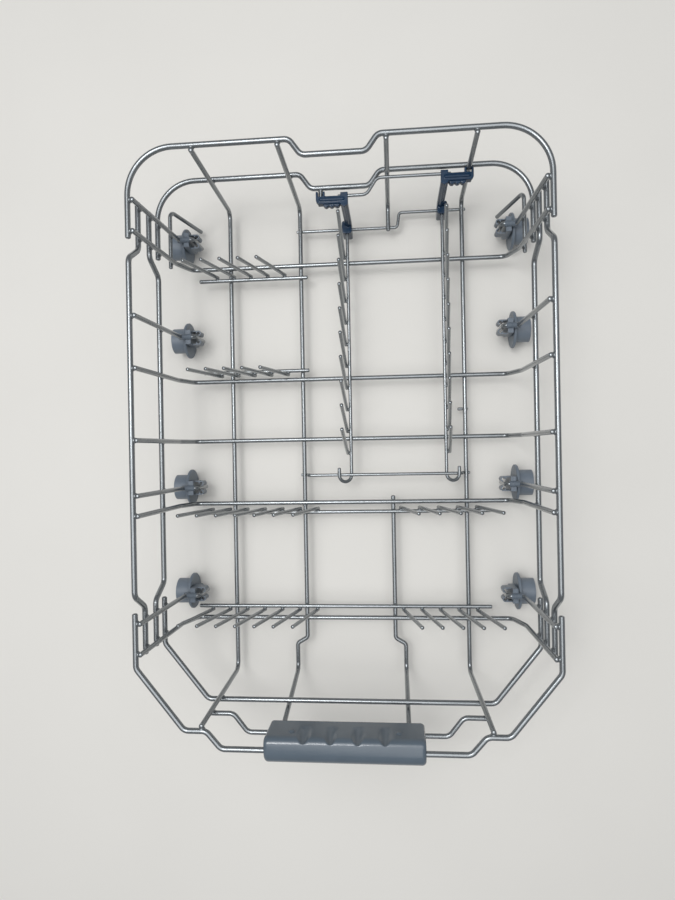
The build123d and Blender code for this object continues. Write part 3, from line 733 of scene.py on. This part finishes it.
@dataclass
class Grip:
    """The moulded cover on the front wires, with finger grooves and two raised pips behind."""

    node: str = "grip"
    wall: float = 2.5 * MM
    rear_drop: float = 36.0 * MM
    ridge_round: float = 6.0 * MM
    front_round: float = 11.0 * MM
    end_round: float = 3.5 * MM
    groove_count: int = 4
    groove_pitch: float = 23.0 * MM
    groove_half: float = 6.5 * MM
    groove_depth: float = 4.5 * MM
    groove_run: float = 26.0 * MM
    pip_pitch: float = 92.0 * MM
    pip_radius: float = 2.7 * MM
    pip_rise: float = 1.3 * MM
    pip_below: float = 15.0 * MM
    step: float = 0.75 * MM
    turns: int = 10
    pip_sides: int = 24
    pip_rows: int = 16
    sharp: float = 0.9

    def __post_init__(self) -> None:
        """Take the cover's place and reach from its solid."""
        self.low, self.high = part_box(self.node)

    def build(self) -> None:
        """Model the cover in place of its plainer solid."""
        mesh = bmesh.new()
        half = self.high.x - self.end_round
        count = round(2 * half / self.step)
        along = [(half * (2 * index / count - 1), 0.0) for index in range(count + 1)]
        quarter = self.spaced(0, pi / 2, self.turns)
        curl = [self.end_round * Vector((sin(turn), 1 - cos(turn))) for turn in quarter]
        left = [(-half - x, inset) for x, inset in reversed(curl[1:])]
        right = [(half + x, inset) for x, inset in curl[1:]]
        outer = [self.section(mesh, x, inset, self.outside()) for x, inset in left + along + right]
        inner = [self.section(mesh, x, inset, self.inside()) for x, inset in along]
        for skin in (outer, inner):
            self.cover(mesh, skin)
            mesh.faces.new(skin[0])
            mesh.faces.new(skin[-1])
        self.close_foot(mesh, outer, inner)
        for way in Side:
            spot = Vector((way.value * self.pip_pitch / 2, self.high.y, self.high.z - self.pip_below))
            scale = Vector((self.pip_radius, self.pip_rise, self.pip_radius))
            where = Matrix.LocRotScale(spot, None, scale)
            bmesh.ops.create_uvsphere(
                mesh, u_segments=self.pip_sides, v_segments=self.pip_rows, radius=1.0, matrix=where
            )
        bmesh.ops.recalc_face_normals(mesh, faces=mesh.faces)
        for edge in mesh.edges:
            edge.smooth = edge.calc_face_angle(0.0) < self.sharp
        cover = finished_piece(mesh, "grip_cover", BASKET, GRIP_PLASTIC)
        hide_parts(self.node)
        LOG.info("grip: %d sections", len(outer))

    @staticmethod
    def spaced(start: float, end: float, steps: int) -> list[float]:
        """List evenly spaced values, both ends among them."""
        return [start + (end - start) * step / steps for step in range(steps + 1)]

    def bend(self, centre: Vector, radius: float, quarter: int) -> Line:
        """Lay points round a quarter of a circle.

        Args:
            centre: Middle of the circle, as Y and Z.
            radius: Its radius.
            quarter: Which quarter, from 0 at +Y.

        Returns:
            Pairs of a point and the way that it faces.
        """
        ways = [Vector((cos(turn), sin(turn))) for turn in self.spaced(0, pi / 2, self.turns)]
        for _ in range(quarter):
            ways = [Vector((-way.y, way.x)) for way in ways]
        return [(centre + way * radius, way) for way in ways]

    def profile(self, rear: float, front: float, top: float, ridge: float, nose: float) -> Line:
        """Lay out one line of the cover, over the top from its rear foot to its front foot.

        Args:
            rear: Y of the rear wall.
            front: Y of the front wall.
            top: Z of the top.
            ridge: Radius between the rear wall and the top.
            nose: Radius between the top and the front wall.

        Returns:
            Pairs of a point and the way that it faces, as Y and Z.
        """
        fall = (self.high.z - self.rear_drop - self.low.z) / (self.high.y - self.low.y)
        rear_foot, front_foot = (self.low.z + fall * (y - self.low.y) for y in (rear, front))
        rise = self.spaced(rear_foot, top - ridge, 2 * self.turns)
        drop = self.spaced(top - nose, front_foot, self.turns)
        behind = [(Vector((rear, z)), Vector((1, 0))) for z in rise]
        ahead = [(Vector((front, z)), Vector((-1, 0))) for z in drop]
        over = self.bend(Vector((rear - ridge, top - ridge)), ridge, 0)
        down = self.bend(Vector((front + nose, top - nose)), nose, 1)
        return behind[:-1] + over + down + ahead[1:]

    def outside(self) -> Line:
        """Lay out the outside of the cover."""
        return self.profile(self.high.y, self.low.y, self.high.z, self.ridge_round, self.front_round)

    def inside(self) -> Line:
        """Lay out the hollow under the cover, which clears the grooves."""
        rear = self.high.y - self.wall - self.groove_depth
        round_in = self.front_round - self.wall
        return self.profile(rear, self.low.y + self.wall, self.high.z - self.wall, self.wall, round_in)

    def section(self, mesh: bmesh.types.BMesh, x: float, inset: float, line: Line) -> Points:
        """Place one line of the cover at its station.

        Args:
            mesh: Mesh that gets the points.
            x: Station along the cover.
            inset: How far the line is drawn in there.
            line: Points of the line and the ways that they face.

        Returns:
            The new points.
        """
        made = []
        for place, way in line:
            y, z = place - way * inset
            made.append(mesh.verts.new((x, min(y, self.high.y - self.groove(x, self.high.z - z)), z)))
        return made

    def groove(self, x: float, below: float) -> float:
        """Measure how deep a finger groove is at one spot of the rear wall.

        Args:
            x: Station along the cover.
            below: Distance under the ridge.

        Returns:
            The depth, which runs out downwards and to both sides.
        """
        last = self.groove_count - 1
        index = min(max(round(x / self.groove_pitch + last / 2), 0), last)
        beside = min(abs(x - (index - last / 2) * self.groove_pitch) / self.groove_half, 1)
        fade = max(1 - below / self.groove_run, 0)
        return self.groove_depth * fade * cos(beside * pi / 2) ** 2

    @staticmethod
    def cover(mesh: bmesh.types.BMesh, skin: list[Points]) -> None:
        """Lay faces over neighbouring sections."""
        for line, following in zip(skin, skin[1:]):
            for at in range(len(line) - 1):
                mesh.faces.new((line[at], line[at + 1], following[at + 1], following[at]))

    @staticmethod
    def close_foot(mesh: bmesh.types.BMesh, outer: list[Points], inner: list[Points]) -> None:
        """Join the outside and the hollow along the open foot of the cover.

        Args:
            mesh: Mesh that both are in.
            outer: Sections of the outside.
            inner: Sections of the hollow, fewer by the rounded ends.
        """
        ends = (len(outer) - len(inner)) // 2
        beside = outer[ends : len(outer) - ends]
        for foot in (0, -1):
            out, hollow = ([line[foot] for line in skin] for skin in (beside, inner))
            for at in range(len(hollow) - 1):
                mesh.faces.new((out[at], out[at + 1], hollow[at + 1], hollow[at]))
        for tip, wall in ((outer[: ends + 1], inner[0]), (outer[: -ends - 2 : -1], inner[-1])):
            behind = [line[0] for line in tip]
            ahead = [line[-1] for line in reversed(tip)]
            mesh.faces.new(behind + [wall[0], wall[-1]] + ahead)


@dataclass(frozen=True)
class Lamp:
    """A soft square lamp that looks at the basket's middle."""

    name: str
    place: tuple[float, float, float]
    size: float
    power: float

    def hang(self) -> None:
        """Hang the lamp in its place."""
        data = bpy.data.lights.new(self.name, "AREA")
        data.shape = "SQUARE"
        data.size = self.size
        data.energy = self.power
        lamp = bpy.data.objects.new(self.name, data)
        lamp.location = self.place
        lamp.rotation_euler = (-Vector(self.place)).to_track_quat("-Z", "Y").to_euler()
        bpy.context.scene.collection.objects.link(lamp)


@dataclass
class Studio:
    """Floor, lamps, surroundings and camera."""

    floor_half: float = 3.0
    floor_drop: float = 0.2 * MM
    lamps: tuple[Lamp, ...] = (
        Lamp("overhead_softbox", place=(-0.1, 0.06, 1.75), size=2.0, power=25.0),
        Lamp("key_softbox", place=(-0.32, 0.26, 1.7), size=0.5, power=8.0),
    )
    sky: str = "#C9CCD0"
    sky_strength: float = 0.42
    image: tuple[int, int] = (675, 900)
    focal_px: float = 624.14
    sensor_mm: float = 36.0
    camera_mm: tuple[float, float, float] = (46.38, -0.62, 669.67)
    camera_turn: tuple[float, float, float] = (0.00058, 0.09042, -0.01864)
    nearest: float = 10 * MM

    def build(self) -> None:
        """Set up everything round the basket."""
        self.lay_floor()
        for lamp in self.lamps:
            lamp.hang()
        self.paint_sky()
        self.set_camera()
        LOG.info("studio set")

    def lay_floor(self) -> None:
        """Lay a plain pale floor under the rollers."""
        mesh = bmesh.new()
        where = Matrix.Translation((0, 0, -self.floor_drop))
        bmesh.ops.create_grid(mesh, x_segments=1, y_segments=1, size=self.floor_half, matrix=where)
        data = bpy.data.meshes.new("floor")
        mesh.to_mesh(data)
        mesh.free()
        data.materials.append(FLOOR_PAPER.material())
        floor = bpy.data.objects.new("floor", data)
        bpy.context.scene.collection.objects.link(floor)

    def paint_sky(self) -> None:
        """Fill the surroundings with even pale light."""
        world = bpy.data.worlds.new("studio_walls")
        world.use_nodes = True
        tree = world.node_tree
        tree.nodes.clear()
        settings = {"Color": linear(self.sky), "Strength": self.sky_strength}
        light = add_node(tree, "ShaderNodeBackground", settings)
        add_node(tree, "ShaderNodeOutputWorld", {"Surface": light.outputs["Background"]})
        bpy.context.scene.world = world

    def set_camera(self) -> None:
        """Place the camera where the picture was taken, almost straight above."""
        data = bpy.data.cameras.new("camera")
        data.sensor_width = self.sensor_mm
        data.lens = self.focal_px * self.sensor_mm / max(self.image)
        data.clip_start = self.nearest
        camera = bpy.data.objects.new("camera", data)
        turn = Vector(self.camera_turn)
        flip = Matrix.Diagonal((1, -1, -1))
        seen = flip @ Matrix.Rotation(turn.length, 3, turn.normalized()) @ flip
        place = Matrix.Translation(Vector(self.camera_mm) * MM)
        camera.matrix_world = place @ seen.transposed().to_4x4()
        bpy.context.scene.collection.objects.link(camera)
        bpy.context.scene.camera = camera


def main() -> None:
    """Build the dressed basket and its studio."""
    logging.basicConfig(level=logging.INFO, format="%(name)s: %(message)s")
    bpy.context.scene.view_settings.view_transform = "Standard"
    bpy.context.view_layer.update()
    for part in (WireFrame(), FoldRows(), RunningGear(), Grip(), Studio()):
        part.build()


if __name__ == "__main__":
    main()
